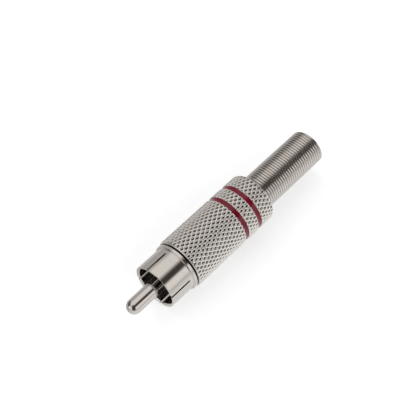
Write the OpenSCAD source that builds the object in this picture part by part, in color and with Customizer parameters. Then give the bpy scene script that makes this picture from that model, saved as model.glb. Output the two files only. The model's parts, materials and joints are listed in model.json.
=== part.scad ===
// A cable-mounted phono plug: a centre pin inside a slotted ground collar, a knurled barrel that
// screws on from behind, and a close-wound spring that keeps the cable from kinking.
// The axis lies along X, with the pin towards -X. X = 0 is the collar's rim. Millimetres.

/* [Centre pin] */
// Diameter of the contact pin
pin_d = 3.2; // [3:0.05:3.4]
// Reach of the pin's tip past the collar's rim
pin_reach = 7.2; // [5:0.1:10]
// Step from the pin down to the neck that runs through the insulators
pin_shoulder = 0.4; // [0.2:0.05:0.5]
// Lip of the staked ring that clamps the insulators
stake_lip = 0.5; // [0.3:0.05:0.8]
// Thickness of the staked ring
stake_t = 0.3; // [0.2:0.05:0.6]
// Length of the solder cup behind the staked ring
cup_l = 4.2; // [3:0.1:5]
// Wall of the solder cup
cup_wall = 0.4; // [0.3:0.05:0.5]
// Depth of the solder cup's bore
cup_depth = 3.2; // [2.8:0.1:4]
// Length of the cup's open side
cup_scoop_l = 1.4; // [0.8:0.1:2]

/* [Ground collar] */
// Outer diameter of the slotted collar
collar_d = 9.9; // [9.6:0.05:10.2]
// Wall of the slotted collar
collar_wall = 0.6; // [0.4:0.05:0.8]
// Length from the rim to the flange's rear face
collar_l = 6.55; // [6:0.05:9]
// Bevel inside the collar's mouth
mouth_bevel = 0.25; // [0.1:0.05:0.35]
// Number of slots in the collar
slot_count = 4; // [3:1:6]
// Width of each slot
slot_w = 0.4; // [0.2:0.05:0.6]
// Length of each slot from the rim
slot_l = 5; // [3:0.1:5.2]
// Turn of the slots about the axis, degrees
slot_turn = 70; // [0:1:90]
// Height of the flange above the collar
flange_rise = 0.35; // [0.2:0.05:0.5]
// Width of the flange's rim
flange_w = 0.65; // [0.5:0.05:1]
// Length of the flare between the collar and the flange
flare_l = 0.4; // [0.3:0.05:0.9]
// Length of the threaded shank behind the flange
thread_l = 4.95; // [4:0.05:7]
// Wall of the threaded shank
shank_wall = 1.08; // [0.8:0.02:1.4]

/* [Insulators] */
// Thickness of the insulator's head
insulator_head_t = 0.9; // [0.5:0.1:1.2]
// Thickness of the rear insulating washer
washer_t = 0.6; // [0.4:0.1:1.2]

/* [Ground lug] */
// Thickness of the lug's sheet
lug_t = 0.4; // [0.3:0.05:0.5]
// Rim of the shank around the lug's ring
lug_rim = 0.48; // [0.3:0.02:0.7]
// Air between the lug's ring and the pin's neck
lug_air = 1; // [0.8:0.1:1.3]
// Width of the lug's strip
lug_w = 3.6; // [2.8:0.1:3.8]
// Length of the strip behind the ring
lug_l = 10; // [8:0.1:12]
// Length of the cable clamp's ears
ear_l = 3.4; // [2.4:0.1:4.5]
// Height of the cable clamp's ears above the strip
ear_h = 3.2; // [2:0.1:4.5]
// Solder hole in the strip
tag_hole_d = 1.2; // [0.8:0.1:1.6]

/* [Barrel] */
// Diameter over the knurl's peaks
barrel_d = 11.1; // [10.9:0.05:11.8]
// Length of the barrel
barrel_l = 22.4; // [21:0.05:28]
// Wall from the barrel's bore to the knurl's peaks
barrel_wall = 0.9; // [0.8:0.05:1.2]
// Lip from the spring's hole to the knurl's peaks
end_lip = 1.55; // [1.3:0.01:2]
// Radius of the barrel's rear edge
barrel_round = 1; // [0.8:0.05:1.9]
// Thickness of the barrel's rear wall
end_wall = 1.7; // [1.2:0.1:3]
// Plain lip ahead of the knurl
lip_w = 0.15; // [0.1:0.05:0.5]
// Number of diamonds around the knurl
knurl_count = 35; // [24:1:45]
// Length of one diamond along the axis
knurl_pitch = 1.55; // [1.2:0.05:2]
// Depth of the knurl
knurl_depth = 0.25; // [0.1:0.01:0.3]

/* [Colour bands] */
// Width of each colour band
band_w = 1.08; // [0.8:0.02:1.6]
// Thickness of each colour band
band_t = 0.25; // [0.15:0.05:0.3]
// Depth of a band's face below the knurl's peaks
band_sink = 0.1; // [0.02:0.01:0.15]
// Knurl left behind the rear band
rear_knurl_l = 3.92; // [2.5:0.01:6]
// Knurl left between the two bands
band_gap = 2.72; // [1.5:0.02:4]

/* [Relief spring] */
// Diameter of the spring's wire
wire_d = 0.6; // [0.5:0.01:0.7]
// Length of spring that shows behind the barrel
spring_out = 17.65; // [10:0.05:20]

/* [Insulating sleeve] */
// Wall of the sleeve that lines the barrel
sleeve_t = 0.3; // [0.2:0.05:0.4]

/* [Clearances] */
// Radial clearance of the thread
thread_gap = 0.05; // [0.02:0.01:0.1]
// Gap between the flange and the barrel's front
seat_gap = 0.15; // [0.05:0.01:0.2]
// Radial clearance between pieces pushed together
fit_gap = 0.02; // [0.01:0.01:0.05]
// Clearance between the rear washer's rim and the lug's strip
washer_gap = 0.1; // [0.05:0.05:0.3]
// Radial clearance of the spring in the barrel's rear hole
spring_gap = 0.09; // [0.05:0.01:0.15]
// Radial clearance of the spring's foot inside the barrel
foot_gap = 0.1; // [0.05:0.01:0.2]
// End clearance of the loose pieces inside the barrel
end_gap = 0.15; // [0.1:0.05:0.4]
// Gap between neighbouring turns of the spring
coil_gap = 0.01; // [0.005:0.005:0.05]

/* [Hidden] */
$fn = 96;
over = 1;

// Radii of the barrel
peak_r = barrel_d / 2;
valley_r = peak_r - knurl_depth;
band_r = peak_r - band_sink;
groove_r = band_r - band_t;
bore_r = peak_r - barrel_wall;
exit_r = peak_r - end_lip;
edge_r = min(barrel_round, end_lip - seat_gap / 2);

// Radii of the collar, the insulators and the lug
collar_bore_r = collar_d / 2 - collar_wall;
flange_r = collar_d / 2 + flange_rise;
thread_r = bore_r - thread_gap;
shank_bore_r = thread_r - shank_wall;
lug_seat_r = thread_r - lug_rim;
lug_ring_r = lug_seat_r - fit_gap;
neck_r = pin_d / 2 - pin_shoulder;
lug_hole_r = neck_r + lug_air;
lug_drop = sqrt(pow(lug_ring_r, 2) - pow(lug_w / 2, 2)) - lug_t;
washer_r = lug_drop - washer_gap;

// Stations along the axis
insulator_seat_x = collar_l - flange_w / 2;
insulator_x = insulator_seat_x - insulator_head_t;
shank_end_x = collar_l + thread_l;
lug_x = shank_end_x - lug_t;
washer_x = shank_end_x;
stake_x = washer_x + washer_t;
pin_end_x = stake_x + stake_t + cup_l;
barrel_x = collar_l + seat_gap;
barrel_end_x = barrel_x + barrel_l;
pocket_x = barrel_end_x - end_wall;
rear_band_x = barrel_end_x - rear_knurl_l - band_w;
front_band_x = rear_band_x - band_gap - band_w;

// The spring's helix
wire_r = wire_d / 2;
turn_steps = 18;
wire_sides = 8;
foot_turns = 1.75;
coil_r = exit_r - spring_gap - wire_r;
foot_r = bore_r - foot_gap - wire_r;
coil_start_x = pocket_x - end_gap - wire_r - foot_turns * (wire_d + coil_gap);
coil_end_x = barrel_end_x + spring_out - wire_r;
coil_steps = floor((coil_end_x - coil_start_x) / (wire_d + coil_gap) * turn_steps);
coil_pitch = (coil_end_x - coil_start_x) / coil_steps * turn_steps;

// The sleeve's place inside the barrel
sleeve_x = shank_end_x + end_gap;
sleeve_end_x = coil_start_x - wire_r - end_gap;
sleeve_r = bore_r - fit_gap;

// Lays a piece that is turned about Z along the plug's axis.
module on_axis() {
    rotate([0, 90, 0]) children();
}

// A plain round length of bar along the axis.
module bar(from_x, to_x, d) {
    on_axis() translate([0, 0, from_x]) cylinder(h = to_x - from_x, d = d);
}

// A ring along the axis.
module ring(from_x, to_x, outer_d, inner_d) {
    difference() {
        bar(from_x, to_x, outer_d);
        bar(from_x - over, to_x + over, inner_d);
    }
}

// Contact pin with a round tip, a neck through the insulators and a solder cup behind.
module centre_pin() {
    tip_x = -pin_reach + pin_d / 2;
    color("silver")
    difference() {
        union() {
            translate([tip_x, 0, 0]) sphere(d = pin_d);
            bar(tip_x, insulator_x, pin_d);
            bar(tip_x, pin_end_x, 2 * neck_r);
            bar(stake_x, stake_x + stake_t, 2 * (neck_r + stake_lip));
        }
        bar(pin_end_x - cup_depth, pin_end_x + over, 2 * (neck_r - cup_wall));
        translate([pin_end_x - cup_scoop_l, -pin_d, 0]) cube([cup_scoop_l + over, 2 * pin_d, pin_d]);
    }
}

// Black insulator that carries the pin, with a head that seats inside the collar.
module insulator() {
    color("#201d1b")
    difference() {
        union() {
            bar(insulator_x, insulator_seat_x, 2 * (collar_bore_r - fit_gap));
            bar(insulator_x, lug_x, 2 * (shank_bore_r - fit_gap));
        }
        bar(insulator_x - over, lug_x + over, 2 * (neck_r + fit_gap));
    }
}

// Outline of the collar, its flare, flange and threaded shank: radius across, axis upward.
module collar_outline() {
    flare_r = (pow(flare_l, 2) + pow(flange_rise, 2)) / (2 * flange_rise);
    flare_x = collar_l - flange_w - flare_l;
    sweep = 2 * atan(flange_rise / flare_l);
    arc_steps = 12;
    polygon(concat(
        [[shank_bore_r, insulator_seat_x],
         [collar_bore_r, insulator_seat_x],
         [collar_bore_r, mouth_bevel],
         [collar_bore_r + mouth_bevel, 0],
         [collar_d / 2, 0]],
        [for (i = [0 : arc_steps])
            let (a = sweep * i / arc_steps)
            [collar_d / 2 + flare_r * (1 - cos(a)), flare_x + flare_r * sin(a)]],
        [[flange_r, collar_l],
         [thread_r, collar_l],
         [thread_r, shank_end_x],
         [lug_seat_r, shank_end_x],
         [lug_seat_r, lug_x],
         [shank_bore_r, lug_x]]));
}

// Slotted ground collar, turned in one piece with its flange and threaded shank.
module ground_collar() {
    color("gainsboro")
    difference() {
        on_axis() rotate_extrude() collar_outline();
        for (i = [0 : slot_count - 1])
            rotate([slot_turn + i * 360 / slot_count, 0, 0])
                translate([-over, -slot_w / 2, pin_d / 2])
                    cube([slot_l + over, slot_w, collar_d]);
    }
}

// Stamped solder lug: a ring behind the insulator, a strip and a clamp for the cable.
module ground_lug() {
    strip_end_x = shank_end_x + lug_l;
    color("lightgray")
    difference() {
        union() {
            bar(lug_x, shank_end_x, 2 * lug_ring_r);
            translate([lug_x, -lug_w / 2, -lug_drop - lug_t]) cube([lug_l + lug_t, lug_w, lug_t]);
            for (side = [-1, 1])
                translate([strip_end_x - ear_l, side * (lug_w - lug_t) / 2 - lug_t / 2, -lug_drop - lug_t])
                    cube([ear_l, lug_t, lug_t + ear_h]);
        }
        bar(lug_x - over, shank_end_x + over, 2 * lug_hole_r);
        translate([stake_x + stake_t + cup_l / 2, 0, -lug_drop - lug_t - over])
            cylinder(h = lug_t + 2 * over, d = tag_hole_d);
    }
}

// Washer that keeps the staked pin off the lug.
module rear_washer() {
    color("#5a3f2a") ring(washer_x, stake_x, 2 * washer_r, 2 * (neck_r + fit_gap));
}

// Rows of the knurl between two stations: place, radius at even columns, radius at odd columns.
function knurl_rows(from_x, to_x) =
    let (count = max(1, round((to_x - from_x) / (knurl_pitch / 2))))
    [for (i = [0 : count])
        [from_x + (to_x - from_x) * i / count,
         i % 2 == 0 ? valley_r : peak_r,
         i % 2 == 0 ? peak_r : valley_r]];

// Floor of a groove that a colour band lies in.
function groove_rows(at_x) = [for (x = [at_x, at_x + band_w]) [x, groove_r, groove_r]];

// Rows of the rounded rear edge, from the depth where the knurl has run out.
function edge_rows(steps) =
    let (fade = acos(1 - knurl_depth / edge_r))
    [for (i = [0 : steps])
        let (a = fade + (90 - fade) * i / steps,
             r = peak_r - edge_r * (1 - cos(a)))
        [barrel_end_x - edge_r * (1 - sin(a)), r, r]];

// Knurled outside of the barrel as one closed skin of rows and columns.
module barrel_skin() {
    rows = concat(
        [[barrel_x, valley_r, valley_r]],
        knurl_rows(barrel_x + lip_w, front_band_x),
        groove_rows(front_band_x),
        knurl_rows(front_band_x + band_w, rear_band_x),
        groove_rows(rear_band_x),
        knurl_rows(rear_band_x + band_w, barrel_end_x - edge_r),
        edge_rows(5));
    columns = 2 * knurl_count;
    last = len(rows) - 1;
    points = [for (row = rows) for (m = [0 : columns - 1])
        let (a = 360 * m / columns, r = row[1 + m % 2])
        [row[0], -r * sin(a), r * cos(a)]];
    sides = [for (k = [0 : last - 1]) for (m = [0 : columns - 1])
        let (p = k * columns + m,
             q = k * columns + (m + 1) % columns,
             low = rows[k][1 + m % 2] <= rows[k][2 - m % 2])
        each low
            ? [[p, q, q + columns], [p, q + columns, p + columns]]
            : [[p, q, p + columns], [q, q + columns, p + columns]]];
    caps = [[for (m = [columns - 1 : -1 : 0]) m],
            [for (m = [0 : columns - 1]) last * columns + m]];
    polyhedron(points = points, faces = concat(sides, caps), convexity = 4);
}

// Knurled barrel, bored for the shank and the sleeve, with a hole for the spring in its rear wall.
module barrel() {
    color("silver")
    difference() {
        barrel_skin();
        bar(barrel_x - over, pocket_x, 2 * bore_r);
        bar(barrel_x, barrel_end_x + over, 2 * exit_r);
    }
}

// Plastic tube that lines the barrel and holds the spring's foot against the rear wall.
module insulating_sleeve() {
    color("#e8e4da") ring(sleeve_x, sleeve_end_x, 2 * sleeve_r, 2 * (sleeve_r - sleeve_t));
}

// Coloured ring in one of the barrel's grooves.
module colour_band(at_x) {
    color("#8b1f33") ring(at_x, at_x + band_w, 2 * band_r, 2 * groove_r);
}

module front_colour_band() {
    colour_band(front_band_x);
}

module rear_colour_band() {
    colour_band(rear_band_x);
}

// Radius of the coil at a number of turns from its foot.
function coil_r_at(turns) =
    let (t = min(1, max(0, (turns - (foot_turns - 0.6)) / 0.6)))
    foot_r + (coil_r - foot_r) * t * t * (3 - 2 * t);

// Close-wound relief spring whose flared foot is held inside the barrel.
module relief_spring() {
    points = [for (i = [0 : coil_steps]) for (j = [0 : wire_sides - 1])
        let (a = 360 * i / turn_steps,
             b = 360 * (j + 0.5) / wire_sides,
             r = coil_r_at(i / turn_steps) + wire_r * cos(b))
        [coil_start_x + coil_pitch * i / turn_steps + wire_r * sin(b), -r * sin(a), r * cos(a)]];
    sides = [for (i = [0 : coil_steps - 1]) for (j = [0 : wire_sides - 1])
        let (p = i * wire_sides + j, q = i * wire_sides + (j + 1) % wire_sides)
        each [[p, q, q + wire_sides], [p, q + wire_sides, p + wire_sides]]];
    caps = [[for (j = [wire_sides - 1 : -1 : 0]) j],
            [for (j = [0 : wire_sides - 1]) coil_steps * wire_sides + j]];
    color("darkgray") polyhedron(points = points, faces = concat(sides, caps), convexity = 40);
}

centre_pin();
insulator();
ground_collar();
ground_lug();
rear_washer();
barrel();
insulating_sleeve();
front_colour_band();
rear_colour_band();
relief_spring();
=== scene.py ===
# %% [markdown]
# # A phono plug with a knurled barrel and a spring tail
# The plug is a small audio connector that a cable is soldered into. Its solids were drawn as exact
# CAD first, and this script only dresses them: it loads them as a fixed frame, builds finer pieces in
# the same places, and gives every surface a finish. Nothing may move, so the pieces take their places
# from the solids' boxes.

# %% Load the solids
import json
import math

import bmesh
import bpy
import numpy as np
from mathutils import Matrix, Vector


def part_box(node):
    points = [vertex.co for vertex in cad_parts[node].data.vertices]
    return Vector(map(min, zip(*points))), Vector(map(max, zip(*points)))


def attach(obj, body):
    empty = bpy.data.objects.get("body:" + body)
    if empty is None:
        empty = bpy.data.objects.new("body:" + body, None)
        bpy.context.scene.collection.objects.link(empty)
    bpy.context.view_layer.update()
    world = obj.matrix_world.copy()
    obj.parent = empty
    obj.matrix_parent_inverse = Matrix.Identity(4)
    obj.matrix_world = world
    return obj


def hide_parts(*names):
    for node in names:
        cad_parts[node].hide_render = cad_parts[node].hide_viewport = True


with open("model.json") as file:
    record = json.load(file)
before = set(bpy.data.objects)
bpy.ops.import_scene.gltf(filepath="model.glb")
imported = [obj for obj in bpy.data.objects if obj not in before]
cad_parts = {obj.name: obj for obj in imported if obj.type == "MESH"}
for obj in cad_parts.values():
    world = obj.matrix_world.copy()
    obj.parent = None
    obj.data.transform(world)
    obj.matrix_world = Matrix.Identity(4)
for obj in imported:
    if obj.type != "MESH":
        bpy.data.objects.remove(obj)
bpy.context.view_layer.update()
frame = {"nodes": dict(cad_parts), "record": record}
record = frame["record"]
MM = 0.001

# %% [markdown]
# ## Camera
# The plug was photographed from above and from the pin's side, quite close, so its front looks larger
# than its tail. A long lens far away would lose that. The distance and the focal length therefore come
# from a fit of the ring-shaped edges along the plug, whose ellipses open up towards the tail.

# %% Place the camera
azimuth, elevation = math.radians(-47.36), math.radians(55.62)
camera_distance = 206.07 * MM
aim = Vector((20.842, 7.380, 0)) * MM
toward_camera = Vector((math.sin(azimuth) * math.cos(elevation),
                        -math.cos(azimuth) * math.cos(elevation),
                        math.sin(elevation)))
camera_data = bpy.data.cameras.new("studio_camera")
camera_data.sensor_width, camera_data.lens = 36, 91.12
camera_data.clip_start, camera_data.clip_end = 0.01, 20
camera = bpy.data.objects.new("studio_camera", camera_data)
camera.location = aim + toward_camera * camera_distance
camera.rotation_euler = (-toward_camera).to_track_quat("-Z", "Y").to_euler()
bpy.context.scene.collection.objects.link(camera)
bpy.context.scene.camera = camera
print("camera at", [round(v / MM, 1) for v in camera.location], "mm")

# %% [markdown]
# ## Driving sizes
# Most sizes are read from the frame, so the dressed pieces follow the solids. Only what a box can't
# say, such as walls, slots and the knurl, is repeated here as named values in millimetres.

# %% Read the sizes
def span(node):
    low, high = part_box(node)
    return round(low.x / MM, 3), round(high.x / MM, 3)


def reach(node):
    return round(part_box(node)[1].z / MM, 2)


mounts = {mount["name"]: mount for mount in record["mounts"]}
pin_r = mounts["centre_pin"]["dims"]["r_mm"]
cup_r = mounts["centre_solder_cup"]["dims"]["r_mm"]
cup_depth = mounts["centre_solder_cup"]["dims"]["length_mm"]
tip_x, pin_end_x = span("centre_pin")
rim_x, shank_end_x = span("ground_collar")
insulator_x, insulator_end_x = span("insulator")
washer_x, stake_x = span("rear_washer")
barrel_x, barrel_end_x = span("barrel")
spring_x, spring_end_x = span("relief_spring")
peak_r, flange_r = reach("barrel"), reach("ground_collar")

flange_rise, flange_w, step_fillet, flange_gap = 0.35, 0.65, 0.16, 0.22
collar_wall, collar_r, collar_l = 0.6, flange_r - flange_rise, barrel_x - flange_gap
mouth_bevel, slot_count, slot_w, slot_l, slot_turn = 0.25, 4, 0.4, 5.0, 70
thread_r, thread_pitch, thread_depth = 4.6, 0.75, 0.4
shank_bore_r, lug_seat_r, fit_gap = 3.52, 4.12, 0.02
barrel_wall, end_lip, end_wall, rear_round = 0.9, 1.55, 1.7, 1.0
bore_r, exit_r = peak_r - barrel_wall, peak_r - end_lip
knurl_count, knurl_pitch = 35, 1.55
pit_share, pit_slope, bar_slope, pit_depth = 0.3, 2.0, 0.4, 0.57
band_t = 0.25
band_r = reach("front_colour_band")
band_floor_r = band_r - band_t
wire_r, spring_gap, coil_gap, foot_turns, flare_turns = 0.3, 0.09, 0.01, 1.75, 0.6
print("barrel", barrel_x, "to", barrel_end_x, "radius", peak_r, "spring ends at", spring_end_x)

# %% [markdown]
# ## Small helpers for the shader nodes
# A material is a graph of nodes. Small helpers keep the graphs short: one makes a node and fills or
# links its inputs, and the others use it for sums, ramps, mixes and groups. Nearly everything here is
# round the X axis, so another gives a point's place along that axis and its distance from it. A new
# material starts with one Principled shader.

# %% Define the node helpers
def add(tree, kind, inputs=(), **settings):
    made = tree.nodes.new(kind)
    for name, value in settings.items():
        setattr(made, name, value)
    for socket, value in dict(inputs).items():
        if isinstance(value, bpy.types.NodeSocket):
            tree.links.new(value, made.inputs[socket])
        else:
            made.inputs[socket].default_value = value
    return made


def sums(tree, operation, *values):
    made = add(tree, "ShaderNodeMath", dict(enumerate(values)), operation=operation)
    return made.outputs[0]


def ramp(tree, value, low, high, to_low=0.0, to_high=1.0):
    made = add(tree, "ShaderNodeMapRange", {"Value": value, "From Min": low, "From Max": high,
                                            "To Min": to_low, "To Max": to_high},
               interpolation_type="SMOOTHSTEP")
    return made.outputs["Result"]


def blend(tree, factor, first, second):
    made = add(tree, "ShaderNodeMix", {0: factor, 6: first, 7: second}, data_type="RGBA")
    return made.outputs[2]


def mix(tree, factor, first, second):
    return add(tree, "ShaderNodeMix", {0: factor, 2: first, 3: second}).outputs[0]


def from_axis(tree, position):
    parts = add(tree, "ShaderNodeSeparateXYZ", {0: position})
    flat = add(tree, "ShaderNodeCombineXYZ", {1: parts.outputs["Y"], 2: parts.outputs["Z"]})
    radius = add(tree, "ShaderNodeVectorMath", {0: flat.outputs[0]}, operation="LENGTH")
    return parts.outputs["X"], radius.outputs["Value"]


def new_finish(name):
    finish = bpy.data.materials.new(name)
    finish.use_nodes = True
    tree = finish.node_tree
    tree.nodes.clear()
    shader = add(tree, "ShaderNodeBsdfPrincipled")
    add(tree, "ShaderNodeOutputMaterial", {"Surface": shader.outputs[0]})
    place = add(tree, "ShaderNodeTexCoord").outputs["Object"]
    return finish, tree, shader, place


def use_group(tree, group, inputs):
    return add(tree, "ShaderNodeGroup", inputs, node_tree=group)


def new_group(name, inputs, outputs):
    group = bpy.data.node_groups.new(name, "ShaderNodeTree")
    for socket, kind, value in inputs:
        made = group.interface.new_socket(socket, in_out="INPUT", socket_type="NodeSocket" + kind)
        if value is not None:
            made.default_value = value
    for socket, kind in outputs:
        group.interface.new_socket(socket, in_out="OUTPUT", socket_type="NodeSocket" + kind)
    return group, group.nodes.new("NodeGroupInput"), group.nodes.new("NodeGroupOutput")


print("node helpers ready")

# %% [markdown]
# ## Turning lines, shared by everything made on a lathe
# A lathe tool leaves very fine rings. They change with the place along the axis on a cylinder, and
# with the radius on an end face, so one line of noise read at "place plus radius" serves both. The
# lines also suit wound wire, because the marks from drawing it run round the coil.

# %% Build the turning lines group
lathe_lines, source, sink = new_group(
    "turning_lines",
    [("Position", "Vector", None), ("Lines per mm", "Float", 8.0), ("Wander", "Float", 0.3)],
    [("Lines", "Float"), ("Bands", "Float")])
along = sums(lathe_lines, "ADD", *from_axis(lathe_lines, source.outputs["Position"]))
along = sums(lathe_lines, "MULTIPLY", along, 1 / MM)
drift = add(lathe_lines, "ShaderNodeTexNoise",
            {"Vector": source.outputs["Position"], "Scale": 220.0, "Detail": 1.0})
drift = sums(lathe_lines, "MULTIPLY", drift.outputs["Fac"], source.outputs["Wander"])
along = sums(lathe_lines, "MULTIPLY_ADD", along, source.outputs["Lines per mm"], drift)
rings = add(lathe_lines, "ShaderNodeTexNoise",
            {"W": along, "Scale": 1.0, "Detail": 3.0, "Roughness": 0.7}, noise_dimensions="1D")
broad = add(lathe_lines, "ShaderNodeTexNoise",
            {"W": along, "Scale": 0.15, "Detail": 1.0}, noise_dimensions="1D")
lathe_lines.links.new(rings.outputs["Fac"], sink.inputs["Lines"])
lathe_lines.links.new(broad.outputs["Fac"], sink.inputs["Bands"])
print("group", lathe_lines.name, "with", len(lathe_lines.nodes), "nodes")

# %% [markdown]
# ## Handling marks, shared by all the metal and plastic
# Fingers leave soft smudges that only change the gloss, and use leaves hairline scratches. The smudge
# is broad noise. A scratch is the thin place where another noise crosses its middle value, broken up
# so that no line runs on for long.

# %% Build the handling marks group
handling_marks, source, sink = new_group(
    "handling_marks",
    [("Position", "Vector", None), ("Smudge scale", "Float", 400.0), ("Scratch scale", "Float", 500.0)],
    [("Smudge", "Float"), ("Scratches", "Float")])
smudge = add(handling_marks, "ShaderNodeTexNoise",
             {"Vector": source.outputs["Position"], "Scale": source.outputs["Smudge scale"],
              "Detail": 4.0, "Roughness": 0.6})
hair = add(handling_marks, "ShaderNodeTexNoise",
           {"Vector": source.outputs["Position"], "Scale": source.outputs["Scratch scale"],
            "Detail": 0.0, "Distortion": 0.6})
middle = sums(handling_marks, "ABSOLUTE", sums(handling_marks, "SUBTRACT", hair.outputs["Fac"], 0.5))
thin = ramp(handling_marks, middle, 0.0, 0.012, 1.0, 0.0)
gate = add(handling_marks, "ShaderNodeTexNoise",
           {"Vector": source.outputs["Position"], "Scale": 900.0, "Detail": 1.0})
kept = sums(handling_marks, "MULTIPLY", thin, ramp(handling_marks, gate.outputs["Fac"], 0.5, 0.62))
handling_marks.links.new(ramp(handling_marks, smudge.outputs["Fac"], 0.3, 0.7), sink.inputs["Smudge"])
handling_marks.links.new(kept, sink.inputs["Scratches"])
print("group", handling_marks.name, "with", len(handling_marks.nodes), "nodes")

# %% [markdown]
# ## Tarnish and painted shade in the recesses
# Plate stays bright where fingers rub it and dulls where they can't reach: in the knurl's pits and
# between the spring's turns. These places also lie in shade, so the darkening painted there is partly
# tarnish and partly painted shade. Both are round the same axis, so how far a point lies below the outer
# radius says how hidden it is. No painted mask is needed, only a place along the axis where it ends,
# because the barrel's rear face lies deep too but is open, so it is left bright.

# %% Build the recess shade group
recess_by_radius, source, sink = new_group(
    "recess_by_radius",
    [("Position", "Vector", None), ("Outer mm", "Float", 5.5), ("Depth mm", "Float", 0.25),
     ("End mm", "Float", 50.0)],
    [("Recess", "Float")])
along, radius = from_axis(recess_by_radius, source.outputs["Position"])
below = sums(recess_by_radius, "MULTIPLY_ADD", radius, -1 / MM, source.outputs["Outer mm"])
share = sums(recess_by_radius, "DIVIDE", below, source.outputs["Depth mm"])
patchy = add(recess_by_radius, "ShaderNodeTexNoise",
             {"Vector": source.outputs["Position"], "Scale": 700.0, "Detail": 3.0})
patches = ramp(recess_by_radius, patchy.outputs["Fac"], 0.25, 0.6, 0.6, 1.0)
share = sums(recess_by_radius, "MULTIPLY", share, patches)
past = sums(recess_by_radius, "MULTIPLY_ADD", source.outputs["End mm"], -MM, along)
before_end = ramp(recess_by_radius, past, -0.4 * MM, 0.0, 1.0, 0.0)
share = sums(recess_by_radius, "MULTIPLY", ramp(recess_by_radius, share, 0.15, 1.0), before_end)
recess_by_radius.links.new(share, sink.inputs["Recess"])
print("group", recess_by_radius.name, "with", len(recess_by_radius.nodes), "nodes")

# %% [markdown]
# ## Nickel plate
# The pin, the collar, the barrel and the spring are all nickel-plated, and differ in how bright they
# are and how coarse their marks are. One function makes the finish, and each piece gives its own
# numbers. The metal's colour stays near that of real nickel, a warm light grey. Only the barrel's grey
# is set brighter, and its pits and the gaps between the spring's turns are darkened: partly tarnish,
# partly painted shade.

# %% Define the nickel finish
def nickel(name, tone, roughness, lines_per_mm, line_height, recess=None, dull=(0.30, 0.27, 0.24)):
    finish, tree, shader, place = new_finish(name)
    lines = use_group(tree, lathe_lines, {"Position": place, "Lines per mm": lines_per_mm,
                                          "Wander": 0.4})
    marks = use_group(tree, handling_marks, {"Position": place, "Smudge scale": 350.0,
                                             "Scratch scale": 420.0})
    darker = tuple(0.93 * c for c in tone) + (1,)
    colour = blend(tree, lines.outputs["Bands"], darker, tuple(tone) + (1,))
    rough = ramp(tree, marks.outputs["Smudge"], 0.0, 1.0, roughness * 0.85, roughness * 1.2)
    rough = sums(tree, "MULTIPLY_ADD", marks.outputs["Scratches"], 0.12, rough)
    # Darkens the recesses towards a dull colour: partly tarnish, partly painted shade.
    if recess:
        outer, depth, amount, end = recess
        deep = use_group(tree, recess_by_radius, {"Position": place, "Outer mm": outer,
                                                  "Depth mm": depth, "End mm": end})
        hidden = sums(tree, "MULTIPLY", deep.outputs["Recess"], amount)
        colour = blend(tree, hidden, colour, dull + (1,))
        rough = sums(tree, "MULTIPLY_ADD", hidden, 0.15, rough)
    height = sums(tree, "MULTIPLY_ADD", marks.outputs["Scratches"], -0.6, lines.outputs["Lines"])
    bump = add(tree, "ShaderNodeBump", {"Strength": 1.0, "Distance": line_height * MM,
                                        "Height": height})
    tree.links.new(colour, shader.inputs["Base Color"])
    tree.links.new(rough, shader.inputs["Roughness"])
    tree.links.new(bump.outputs[0], shader.inputs["Normal"])
    shader.inputs["Metallic"].default_value = 1.0
    return finish


# The barrel's grey is set brighter than the other nickel.
warm_grey, barrel_grey, wire_grey = (0.65, 0.617, 0.585), (0.77, 0.74, 0.705), (0.62, 0.585, 0.55)
# Where tarnish and painted shade darken the knurl's pits and the gaps between the spring's turns.
pit_shade = (peak_r - 0.15 * pit_depth, 0.55 * pit_depth, 1.0, barrel_end_x - 0.35 * rear_round)
turn_gap_shade = (exit_r - spring_gap, wire_r, 0.5, spring_end_x + 1)
pin_nickel = nickel("pin_nickel", warm_grey, roughness=0.11, lines_per_mm=9.0, line_height=0.0012)
collar_nickel = nickel("collar_nickel", warm_grey, roughness=0.12, lines_per_mm=9.0, line_height=0.001)
barrel_nickel = nickel("barrel_nickel", barrel_grey, roughness=0.18, lines_per_mm=6.0,
                       line_height=0.001, recess=pit_shade, dull=(0.06, 0.052, 0.045))
spring_nickel = nickel("spring_nickel", wire_grey, roughness=0.16, lines_per_mm=25.0,
                       line_height=0.0008, recess=turn_gap_shade)
print("nickel finishes:", pin_nickel.name, collar_nickel.name, barrel_nickel.name, spring_nickel.name)

# %% [markdown]
# ## Red enamel
# The bands tell the left channel from the right. They are enamel that was run into a groove and baked,
# so they are glossy and keep a slight ripple. The red itself is very deep: what looks pale on the bands
# is the room mirrored in their gloss. A low refractive index, as lacquers have, keeps that mirror weak
# enough for the crimson to show.

# %% Make the enamel
red_enamel, tree, shader, place = new_finish("red_enamel")
ripple = add(tree, "ShaderNodeTexNoise", {"Vector": place, "Scale": 900.0, "Detail": 2.0})
cloud = add(tree, "ShaderNodeTexNoise", {"Vector": place, "Scale": 260.0, "Detail": 3.0})
marks = use_group(tree, handling_marks, {"Position": place, "Smudge scale": 500.0,
                                         "Scratch scale": 600.0})
deep_red, light_red = (0.150, 0.002, 0.014, 1), (0.185, 0.003, 0.020, 1)
colour = blend(tree, ramp(tree, cloud.outputs["Fac"], 0.3, 0.7), deep_red, light_red)
bump = add(tree, "ShaderNodeBump", {"Strength": 1.0, "Distance": 0.004 * MM,
                                    "Height": ripple.outputs["Fac"]})
tree.links.new(colour, shader.inputs["Base Color"])
tree.links.new(ramp(tree, marks.outputs["Smudge"], 0.0, 1.0, 0.12, 0.20), shader.inputs["Roughness"])
tree.links.new(bump.outputs[0], shader.inputs["Normal"])
shader.inputs["IOR"].default_value = 1.42
print("enamel ready:", red_enamel.name)

# %% [markdown]
# ## Insulators, liner and solder lug
# The pin sits in a black moulding with a faint moulded grain. Behind it lie a washer punched from
# brown paper laminate, whose fibres show, a milky extruded liner and a lug stamped from tinned sheet,
# which has the mottle of hot tin. All are dull next to the plate, so each gets a rough shader with
# its own pattern.

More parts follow.
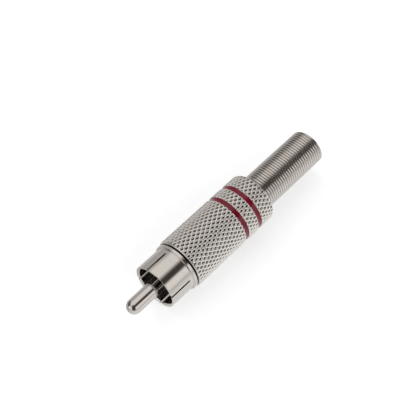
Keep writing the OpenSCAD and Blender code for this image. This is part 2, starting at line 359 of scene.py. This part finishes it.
# %% Make the quieter finishes
def quiet(name, dark, light, roughness, stretch, scale, height, metal=0.0):
    finish, tree, shader, place = new_finish(name)
    stretched = add(tree, "ShaderNodeMapping", {"Vector": place, "Scale": stretch})
    grain = add(tree, "ShaderNodeTexNoise", {"Vector": stretched.outputs[0], "Scale": scale,
                                             "Detail": 5.0, "Roughness": 0.6})
    marks = use_group(tree, handling_marks, {"Position": place, "Smudge scale": 300.0,
                                             "Scratch scale": 450.0})
    colour = blend(tree, ramp(tree, grain.outputs["Fac"], 0.3, 0.7), dark + (1,), light + (1,))
    rough = ramp(tree, marks.outputs["Smudge"], 0.0, 1.0, roughness - 0.06, roughness + 0.08)
    bump = add(tree, "ShaderNodeBump", {"Strength": 1.0, "Distance": height * MM,
                                        "Height": grain.outputs["Fac"]})
    tree.links.new(colour, shader.inputs["Base Color"])
    tree.links.new(rough, shader.inputs["Roughness"])
    tree.links.new(bump.outputs[0], shader.inputs["Normal"])
    shader.inputs["Metallic"].default_value = metal
    return finish


black_moulding = quiet("black_moulding", (0.016, 0.014, 0.012), (0.030, 0.026, 0.023),
                       roughness=0.42, stretch=(1, 1, 1), scale=2200.0, height=0.004)
brown_laminate = quiet("brown_laminate", (0.16, 0.085, 0.04), (0.27, 0.16, 0.09),
                       roughness=0.6, stretch=(1, 1, 0.15), scale=1800.0, height=0.006)
milky_liner = quiet("milky_liner", (0.74, 0.71, 0.64), (0.83, 0.80, 0.74),
                    roughness=0.38, stretch=(0.08, 1, 1), scale=900.0, height=0.004)
tinned_sheet = quiet("tinned_sheet", (0.58, 0.58, 0.57), (0.74, 0.74, 0.73),
                     roughness=0.36, stretch=(1, 1, 1), scale=1100.0, height=0.006, metal=1.0)
print("quiet finishes:", black_moulding.name, brown_laminate.name, milky_liner.name, tinned_sheet.name)

# %% [markdown]
# ## Turning a piece from its outline
# Nearly every piece here is turned on a lathe, so it is an outline spun round the X axis. Blender has a
# Screw modifier for this, but the collar also has slots and a thread. Building the rings directly
# keeps the slot walls flat and parallel, as a saw leaves them. Corners get a small arc, because a
# perfectly sharp metal edge never catches the light.

# %% Define the lathe
def rounded(corners, steps=5):
    outline = []
    for i, (x, r, arc) in enumerate(corners):
        here = np.array((x, r), float)
        if not arc:
            outline.append(here)
            continue
        before = np.array(corners[i - 1][:2], float) - here
        after = np.array(corners[(i + 1) % len(corners)][:2], float) - here
        before, after = before / np.linalg.norm(before), after / np.linalg.norm(after)
        half = math.acos(np.clip(before @ after, -1, 1)) / 2
        middle = (before + after) / np.linalg.norm(before + after)
        centre = here + middle * arc / math.sin(half)
        tangent = (after - before) / np.linalg.norm(after - before)
        for step in range(steps + 1):
            turn = (step / steps - 0.5) * (math.pi - 2 * half)
            outline.append(centre + arc * (-middle * math.cos(turn) + tangent * math.sin(turn)))
    return np.array(outline)


def on_axis(x, r, angle):
    place = np.broadcast_arrays(x, -r * np.sin(angle), r * np.cos(angle))
    return np.stack(place, -1).reshape(-1, 3)


def turned(outline, gaps=(), cut=0, around=192, relief=None):
    """Spins an outline of (x, r). Its first `cut` steps stay open inside each gap (angle, width)."""
    x, r = np.array(outline, float).T
    columns, open_after, walls = [], [], []
    if not gaps:
        columns = [np.full(len(r), 2 * math.pi * i / around) for i in range(around)]
        open_after = [False] * around
    for k, (centre, width) in enumerate(gaps):
        next_centre, next_width = gaps[(k + 1) % len(gaps)]
        centre = math.radians(centre)
        next_centre = math.radians(next_centre) + (2 * math.pi if k + 1 == len(gaps) else 0)
        half = np.arcsin(np.minimum(1, width / 2 / np.maximum(r, 1e-6)))
        next_half = np.arcsin(np.minimum(1, next_width / 2 / np.maximum(r, 1e-6)))
        inside = max(1, round(float(half.max()) / math.pi * around / 2))
        outside = around // len(gaps)
        walls.append((len(columns), len(columns) + inside))
        for i in range(inside):
            columns.append(centre - half + 2 * half * i / inside)
            open_after.append(True)
        for i in range(outside):
            columns.append(centre + half + (next_centre - next_half - centre - half) * i / outside)
            open_after.append(False)
    angle = np.array(columns).T
    rows, wide = angle.shape
    along, radius = np.repeat(x[:, None], wide, 1), np.repeat(r[:, None], wide, 1)
    if relief:
        radius = relief(along, angle, radius)
    faces = []
    for i in range(rows):
        for c in range(wide):
            if i < cut and open_after[c]:
                continue
            d, j = (c + 1) % wide, (i + 1) % rows
            faces.append((i * wide + c, i * wide + d, j * wide + d, j * wide + c))
    for first, last in walls if cut else ():
        for c in (first, last):
            faces.append(tuple(i * wide + c for i in range(cut + 1)))
        for c in range(first, last):
            faces.append((c, c + 1, cut * wide + c + 1, cut * wide + c))
    return on_axis(along, radius, angle), faces


body_of = {node: body for body, nodes in record["behaviour"]["bodies"].items() for node in nodes}


def dress(name, shape, node, finish, crease=30):
    points, faces = shape
    mesh = bpy.data.meshes.new(name)
    mesh.from_pydata((np.asarray(points) * MM).tolist(), [], faces)
    work = bmesh.new()
    work.from_mesh(mesh)
    bmesh.ops.remove_doubles(work, verts=work.verts, dist=1e-8)
    bmesh.ops.recalc_face_normals(work, faces=work.faces)
    loose = sum(not edge.is_manifold for edge in work.edges)
    work.to_mesh(mesh)
    work.free()
    mesh.materials.append(finish)
    mesh.shade_smooth()
    mesh.set_sharp_from_angle(angle=math.radians(crease))
    piece = bpy.data.objects.new(name, mesh)
    bpy.context.scene.collection.objects.link(piece)
    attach(piece, body_of[node])
    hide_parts(node)
    print(name, "has", len(mesh.polygons), "faces and", loose, "open edges")


# %% [markdown]
# ## Centre pin
# The pin carries the signal. It is one turned piece with a round tip, a neck through the insulators, a
# ring that was staked to clamp them, and a cup behind for the wire. The cup's upper half is cut
# away so that solder can be fed in.

# %% Turn the pin
neck_r, stake_r, stake_t, scoop_l = pin_r - 0.4, pin_r + 0.1, 0.3, 1.4
scoop_x, cup_x, drill_point = pin_end_x - scoop_l, pin_end_x - cup_depth, 0.3
tip = [(tip_x + pin_r * (1 - math.cos(a)), pin_r * math.sin(a), 0)
       for a in np.radians(np.linspace(0, 90, 19))]
pin_corners = ([(scoop_x, cup_r, 0), (pin_end_x, cup_r, 0.06), (pin_end_x, neck_r, 0.08),
                (scoop_x, neck_r, 0), (stake_x + stake_t, neck_r, 0),
                (stake_x + stake_t, stake_r, 0.08), (stake_x, stake_r, 0.04), (stake_x, neck_r, 0),
                (insulator_x, neck_r, 0), (insulator_x, pin_r, 0)] + tip[::-1]
               + [(cup_x - drill_point, 0, 0), (cup_x, cup_r, 0)])
pin_outline = rounded(pin_corners)
cut = int(np.argmin(np.abs(pin_outline - (scoop_x, neck_r)).sum(1)))
dress("solder_pin", turned(pin_outline, gaps=[(0, 4 * pin_r)], cut=cut, around=96),
      "centre_pin", pin_nickel)

# %% [markdown]
# ## Insulators and liner
# The black moulding holds the pin in the middle of the collar, and its head is all that shows, deep in
# the mouth. A shallow ring round the pin is where the mould's core stood. The washer, the liner and
# the lug are hidden, so their outlines stay as simple as the solids, with softened edges.

# %% Turn the insulators and the liner
head_t, core_depth, core_taper = 0.9, 0.15, 0.15
head_end_x, head_r, core_x = insulator_x + head_t, reach("insulator"), insulator_x + core_depth
core_in_r, core_out_r = pin_r + 0.35, head_r - 0.65
plug_r, hole_r = shank_bore_r - fit_gap, neck_r + fit_gap
insulator_corners = [(insulator_x, hole_r, 0), (insulator_x, core_in_r, 0.04),
                     (core_x, core_in_r + core_taper, 0.05), (core_x, core_out_r - core_taper, 0.05),
                     (insulator_x, core_out_r, 0.05), (insulator_x, head_r, 0.08),
                     (head_end_x, head_r, 0.05), (head_end_x, plug_r, 0),
                     (insulator_end_x, plug_r, 0.1), (insulator_end_x, hole_r, 0)]
dress("moulded_insulator", turned(rounded(insulator_corners), around=128), "insulator", black_moulding)

washer_r = reach("rear_washer")
washer_corners = [(washer_x, hole_r, 0.03), (stake_x, hole_r, 0.03),
                  (stake_x, washer_r, 0.06), (washer_x, washer_r, 0.06)]
dress("laminate_washer", turned(rounded(washer_corners), around=96), "rear_washer", brown_laminate)

liner_x, liner_end_x = span("insulating_sleeve")
liner_r, liner_t = reach("insulating_sleeve"), 0.3
liner_corners = [(liner_x, liner_r - liner_t, 0.05), (liner_end_x, liner_r - liner_t, 0.05),
                 (liner_end_x, liner_r, 0.08), (liner_x, liner_r, 0.08)]
dress("extruded_liner", turned(rounded(liner_corners), around=96), "insulating_sleeve", milky_liner)

# %% [markdown]
# ## Ground collar
# The collar grips the jack's outer ring. Four saw cuts let it spring open, a bevel leads the jack in,
# and a small filleted step leads up to a flange that the barrel stops against. Behind the flange is the
# thread for the barrel, which only shows once the barrel is backed off. The thread is a real helix:
# each ring's radius depends on its angle as well as on its place.

# %% Turn the collar
undercut_l, lead_in, lead_in_depth = 0.7, 0.4, 0.2


def thread_relief(x, angle, r):
    phase = np.mod(x / thread_pitch - angle / (2 * math.pi), 1)
    depth = thread_depth * np.clip(1.25 - 2.5 * np.abs(phase - 0.5), 0, 1)
    depth = np.where(x < collar_l + undercut_l, thread_depth, depth)
    depth = np.maximum(depth, lead_in_depth * (1 - np.clip((shank_end_x - x) / lead_in, 0, 1)))
    on_thread = (np.abs(r - thread_r) < 1e-6) & (x > collar_l + 0.01)
    return np.where(on_thread, r - depth, r)


collar_bore_r = collar_r - collar_wall
flange_x = collar_l - flange_w
thread = [(x, thread_r, 0)
          for x in np.arange(collar_l + 0.02, shank_end_x - 0.02, thread_pitch / 10)]
collar_corners = ([(slot_l, collar_bore_r, 0), (rim_x + mouth_bevel, collar_bore_r, 0.06),
                   (rim_x, collar_bore_r + mouth_bevel, 0.05), (rim_x, collar_r, 0.07),
                   (slot_l, collar_r, 0), (flange_x, collar_r, step_fillet),
                   (flange_x, flange_r, 0.06), (collar_l, flange_r, 0.1), (collar_l, thread_r, 0)]
                  + thread
                  + [(shank_end_x, thread_r - 0.25, 0), (shank_end_x, lug_seat_r, 0.02),
                     (insulator_end_x, lug_seat_r, 0), (insulator_end_x, shank_bore_r, 0.05),
                     (head_end_x, shank_bore_r, 0), (head_end_x, collar_bore_r, 0)])
collar_outline = rounded(collar_corners)
cut = int(np.argmin(np.abs(collar_outline - (slot_l, collar_r)).sum(1)))
slots = sorted(((slot_turn + 360 / slot_count * i) % 360, slot_w) for i in range(slot_count))
dress("slotted_collar", turned(collar_outline, gaps=slots, cut=cut, around=224, relief=thread_relief),
      "ground_collar", collar_nickel)

# %% [markdown]
# ## Knurled barrel
# Two crossed sets of bars stand on the barrel so that it can be gripped, with a diamond-shaped pit in
# each mesh between them. A roller presses the pits in. A bump map would look flat at the outline, and it
# is the pits' steep walls that go dark while the bars catch the light, so the pits are real geometry.
# The grid of rows and columns is laid out so that the bars run exactly along its diagonals, and every
# cell of the grid is split along the wall that it lies on. Beside a colour band the pits are kept
# shallower than the groove, so that the band has an unbroken wall on both sides.

# %% Lay out the knurl
first_pit_x, first_pit_angle = barrel_x - 0.10, math.radians(28.5)
fine, least_step = 10, 0.02
front_drop, front_slope = 0.6, 1.9
groove_wall, groove_reach = 0.12, 0.2
bar_step = 1 / math.hypot(knurl_count / (2 * math.pi * peak_r), 1 / knurl_pitch)
columns = knurl_count * fine
angles = first_pit_angle + 2 * math.pi * np.arange(columns) / columns
bands = [span("front_colour_band"), span("rear_colour_band")]
band_edges = [x for band in bands for x in band]


def knurl(x):
    around, along = np.arange(columns) / fine, (x - first_pit_x) / knurl_pitch
    away = np.maximum(*[np.abs(s - np.round(s)) for s in (around + along, around - along)])
    wall = np.minimum(away, pit_share) * pit_slope + np.maximum(away - pit_share, 0) * bar_slope
    top = pit_share * pit_slope + (0.5 - pit_share) * bar_slope
    return peak_r - (top - wall) * bar_step


def envelope(x):
    front = peak_r - front_drop + (x - barrel_x) * front_slope
    back = x - (barrel_end_x - rear_round)
    rear = peak_r - rear_round + math.sqrt(max(0, rear_round ** 2 - max(0, back) ** 2))
    return min(front, rear)


lattice = np.arange(0, (barrel_end_x - first_pit_x) / knurl_pitch * fine)
lattice = lattice / fine * knurl_pitch + first_pit_x
arc_rows = barrel_end_x - rear_round + rear_round * np.sin(np.radians(np.arange(0, 91, 6)))
stops = [barrel_x, *lattice[lattice > barrel_x + least_step], *arc_rows, *band_edges]
stops = sorted(x for x in stops if not any(a + 0.001 < x < b - 0.001 for a, b in bands))
rows = []
for x in stops:
    to_band = min(abs(x - edge) for edge in band_edges)
    if rows and x - rows[-1][0] < least_step and to_band >= 1e-6:
        continue
    lowest = band_floor_r + groove_wall if to_band < groove_reach else 0
    rows.append((x, np.minimum(np.maximum(knurl(x), lowest), envelope(x))))
print("knurl:", len(rows), "rows of", columns, "points, bars", round(bar_step, 3), "mm apart")

# %% [markdown]
# The rings inside the barrel close the skin: the bands' grooves, the rear wall with the spring's hole,
# the pocket that holds the spring's foot, and the bore for the shank and the liner.

# %% Join the barrel
def ring(x, r):
    return x, np.full(columns, float(r))


for low, high in bands:
    at = max(i for i, row in enumerate(rows) if row[0] <= low + 1e-6)
    rows[at + 1:at + 1] = [ring(low, band_floor_r), ring(high, band_floor_r)]
pocket_x, bore_bevel = barrel_end_x - end_wall, 0.2
inside = rounded([(barrel_end_x, peak_r - rear_round - 0.02, 0), (barrel_end_x, exit_r, 0.08),
                  (pocket_x, exit_r, 0.05), (pocket_x, bore_r, 0),
                  (barrel_x + bore_bevel, bore_r, 0), (barrel_x, bore_r + bore_bevel, 0)])
skin = rows + [ring(x, r) for x, r in inside]
skin_x, skin_r = np.array([row[0] for row in skin]), np.array([row[1] for row in skin])
faces = []
for i in range(len(skin)):
    j = (i + 1) % len(skin)
    along = ((skin_x[i] + skin_x[j]) / 2 - first_pit_x) / knurl_pitch
    rolled = i < len(rows) - 1 and np.ptp(skin_r[i]) + np.ptp(skin_r[j]) > 0.001
    for c in range(columns):
        d = (c + 1) % columns
        quad = (i * columns + c, i * columns + d, j * columns + d, j * columns + c)
        if not rolled:
            faces.append(quad)
            continue
        around = (c + 0.5) / fine
        u, v = around + along, around - along
        if abs(u - round(u)) > abs(v - round(v)):
            faces += [(quad[0], quad[1], quad[3]), (quad[1], quad[2], quad[3])]
        else:
            faces += [(quad[0], quad[1], quad[2]), (quad[0], quad[2], quad[3])]
dress("knurled_barrel", (on_axis(skin_x[:, None], skin_r, angles), faces), "barrel", barrel_nickel,
      crease=45)

# %% [markdown]
# ## Colour bands
# Enamel that cures in a groove creeps up the groove's walls and sinks in the middle. The band's
# section is therefore a shallow hollow, which bends the reflection from one edge to the other.

# %% Run the enamel into the grooves
hollow = 0.10
for name, node in (("front_enamel", "front_colour_band"), ("rear_enamel", "rear_colour_band")):
    low, high = span(node)
    middle, half = (low + high) / 2, (high - low) / 2
    surface = [(middle + half * t, band_r - hollow * (1 - t ** 2)) for t in np.linspace(-1, 1, 13)]
    section = [(high, band_floor_r), (low, band_floor_r)] + surface
    dress(name, turned(section, around=256), node, red_enamel, crease=50)

# %% [markdown]
# ## Relief spring
# The spring keeps the cable from kinking at the barrel. It is wound with no gap between the turns, and
# its first turns flare out to hold it inside the barrel. A wire swept along a helix gives the ribbed
# outline and the fine dark lines between the turns. Its cut end is left square, as cutters leave it.

# %% Wind the spring
coil_x, coil_end_x = spring_x + wire_r, spring_end_x - wire_r
coil_r, foot_r = exit_r - spring_gap - wire_r, reach("relief_spring") - wire_r
turn_parts, turn_steps, sides = 18, 60, 14
turns = math.floor((coil_end_x - coil_x) / (2 * wire_r + coil_gap) * turn_parts) / turn_parts
steps = int(turns * turn_steps)
turn = np.linspace(0, turns, steps + 1)
ease = np.clip((turn - (foot_turns - flare_turns)) / flare_turns, 0, 1)
centre_r = foot_r + (coil_r - foot_r) * ease ** 2 * (3 - 2 * ease)
around = 2 * math.pi * np.arange(sides) / sides
section_r = centre_r[:, None] + wire_r * np.cos(around)
section_x = (coil_x + (coil_end_x - coil_x) * turn / turns)[:, None] + wire_r * np.sin(around)
points = on_axis(section_x, section_r, (2 * math.pi * turn)[:, None])
faces = []
for low in range(0, steps * sides, sides):
    high = low + sides
    for j in range(sides):
        k = (j + 1) % sides
        faces.append((low + j, low + k, high + k, high + j))
faces += [tuple(range(sides))[::-1], tuple(steps * sides + j for j in range(sides))]
dress("wound_spring", (points, faces), "relief_spring", spring_nickel, crease=50)
print("spring:", round(turns, 2), "turns of", 2 * wire_r, "mm wire")

# %% [markdown]
# ## Solder lug
# The lug is hidden inside the barrel. Its solid already has the right shape, a ring with a strip and two
# ears that fold over the cable, so the solid stays and only takes the tinned finish.

# %% Finish the lug
lug = frame["nodes"]["ground_lug"]
lug.data.materials.clear()
lug.data.materials.append(tinned_sheet)
print("lug keeps its solid, finish", tinned_sheet.name)

# %% [markdown]
# ## Table
# The plug lies on a white table. The table glows a little, more on the right, because the polished metal
# shows it along both lower edges: a painted glow, as the table is no lamp, and it also lights the plug's
# matt sides. The paper is painted darker away from the part, a painted shade, so in the metal the table
# looks bright beside the part and dim far away. The camera gets a glow of its own, weaker beside the
# part, so the table turns white in the picture and keeps a faint shadow.

# %% Lay the table
floor_z = -peak_r * MM
half_size, near, far = 1.5, 0.01, 0.07
corners = [(half_size * x, half_size * y, floor_z) for x, y in ((-1, -1), (1, -1), (1, 1), (-1, 1))]
table_mesh = bpy.data.meshes.new("white_table")
table_mesh.from_pydata(corners, [], [(0, 1, 2, 3)])
table = bpy.data.objects.new("white_table", table_mesh)
bpy.context.scene.collection.objects.link(table)
white = bpy.data.materials.new("white_table")
white.use_nodes = True
tree = white.node_tree
tree.nodes.clear()
place = add(tree, "ShaderNodeTexCoord").outputs["Object"]
fibre = add(tree, "ShaderNodeTexNoise", {"Vector": place, "Scale": 60.0, "Detail": 4.0})
paper = blend(tree, fibre.outputs["Fac"], (0.72, 0.73, 0.74, 1), (0.76, 0.77, 0.78, 1))
distance = add(tree, "ShaderNodeVectorMath", {0: place, 1: tuple(aim)}, operation="DISTANCE")
away = distance.outputs["Value"]
# The paper is painted darker away from the part: painted shade.
paper = blend(tree, ramp(tree, away, near, far), paper, (0.44, 0.44, 0.44, 1))
matt = add(tree, "ShaderNodeBsdfDiffuse", {"Color": paper})
path = add(tree, "ShaderNodeLightPath")
near_side = add(tree, "ShaderNodeSeparateXYZ", {0: place}).outputs["Y"]
# Painted glow for every ray but the camera's, stronger on the right.
lit = ramp(tree, near_side, -0.008, 0.008, 0.46, 0.10)
plain = ramp(tree, away, near, far, 0.50, 0.85)
seen = mix(tree, path.outputs["Is Camera Ray"], lit, plain)
glow = add(tree, "ShaderNodeEmission", {"Color": (0.98, 0.99, 1, 1), "Strength": seen})
both = add(tree, "ShaderNodeAddShader", {0: matt.outputs[0], 1: glow.outputs[0]})
add(tree, "ShaderNodeOutputMaterial", {"Surface": both.outputs[0]})
table_mesh.materials.append(white)
print("table at z =", round(floor_z / MM, 2), "mm")

# %% [markdown]
# ## Lamps for the matt surfaces
# Enamel, plastic and the table need light that falls on them, while metal only needs something to
# mirror. Two soft lamps, one on each side, light the matt surfaces at about the level where a colour
# renders as it is written. They are hidden from reflections, so they leave no round spots on the metal.

# %% Hang the two lamps
lamp_rise, lamp_distance, lamp_size, lamp_watts = math.radians(35), 0.5, 0.4, 0.75
for name, turn in (("left_lamp", 1), ("right_lamp", -1)):
    lamp_data = bpy.data.lights.new(name, "AREA")
    lamp_data.shape, lamp_data.size, lamp_data.energy = "DISK", lamp_size, lamp_watts
    lamp = bpy.data.objects.new(name, lamp_data)
    toward = Vector((0, turn * math.cos(lamp_rise), math.sin(lamp_rise)))
    lamp.location = aim + toward * lamp_distance
    lamp.rotation_euler = toward.to_track_quat("Z", "Y").to_euler()
    lamp.visible_glossy = False
    bpy.context.scene.collection.objects.link(lamp)
    print(name, "shines from", [round(v, 2) for v in toward], "with", lamp_data.energy, "W")

# %% [markdown]
# ## The room that the metal mirrors
# A cylinder of polished metal shows the room as stripes along its axis. So the room is painted on the
# world by direction: a bright wall on the right, a bright ceiling on the left, and a dark gap between
# them, above the axis, which draws the dark stripe on the collar and the spring. The round tip of the
# pin mirrors the whole room at once, and it tells where the window and the shade at the front must be.

# %% Paint the room on the world
axis = Vector((1, 0, 0))
over = (toward_camera - axis * toward_camera.dot(axis)).normalized()
side = axis.cross(over)
world = bpy.data.worlds.new("soft_studio")
bpy.context.scene.world = world
world.use_nodes = True
tree = world.node_tree
tree.nodes.clear()
sky = add(tree, "ShaderNodeTexCoord").outputs["Generated"]


def facing(vector):
    made = add(tree, "ShaderNodeVectorMath", {0: sky, 1: tuple(vector)}, operation="DOT_PRODUCT")
    return made.outputs["Value"]


def within(value, low, low_end, high_start, high):
    rise, fall = ramp(tree, value, low, low_end), ramp(tree, value, high_start, high, 1.0, 0.0)
    return sums(tree, "MULTIPLY", rise, fall)


across, height, forward = facing(side), facing((0, 0, 1)), facing(axis)
stand = Vector((toward_camera.x, toward_camera.y, 0)).normalized()
beside = Vector((stand.y, -stand.x, 0))
low_left = ramp(tree, forward, -0.05, 0.25, 0.12, 0.54)
left = mix(tree, ramp(tree, height, 0.52, 0.80), low_left, 0.97)
right = ramp(tree, height, 0.05, 0.35, 0.66, 1.04)
level = mix(tree, ramp(tree, across, -0.02, 0.02), left, right)
toward_window = (-0.946, 0.254, 0.203)
warm_light, dark_room = (1.0, 0.974, 0.949), (0.068, 0.058, 0.053, 1)
level = mix(tree, ramp(tree, facing(toward_window), 0.87, 0.95), level, 1.15)
lights = add(tree, "ShaderNodeVectorMath", {0: warm_light, "Scale": level}, operation="SCALE").outputs[0]
gap = sums(tree, "MULTIPLY", within(across, -0.40, -0.05, 0.22, 0.45),
           within(forward, -0.6, -0.3, 0.9, 1.0))
shade = sums(tree, "MULTIPLY", within(facing(beside), -0.42, -0.28, 0.34, 0.50),
             ramp(tree, facing(stand), 0.1, 0.35))
room = blend(tree, sums(tree, "MAXIMUM", gap, shade), lights, dark_room)
shown = add(tree, "ShaderNodeBackground", {"Color": room, "Strength": 1.0})
plain = add(tree, "ShaderNodeBackground", {"Color": (1, 1, 1, 1), "Strength": 1.0})
path = add(tree, "ShaderNodeLightPath")
pick = add(tree, "ShaderNodeMixShader", {0: path.outputs["Is Camera Ray"], 1: shown.outputs[0],
                                         2: plain.outputs[0]})
add(tree, "ShaderNodeOutputWorld", {"Surface": pick.outputs[0]})
bpy.context.scene.view_settings.view_transform = "Standard"
print("lights face", [round(v, 3) for v in over], "and", [round(v, 3) for v in side])
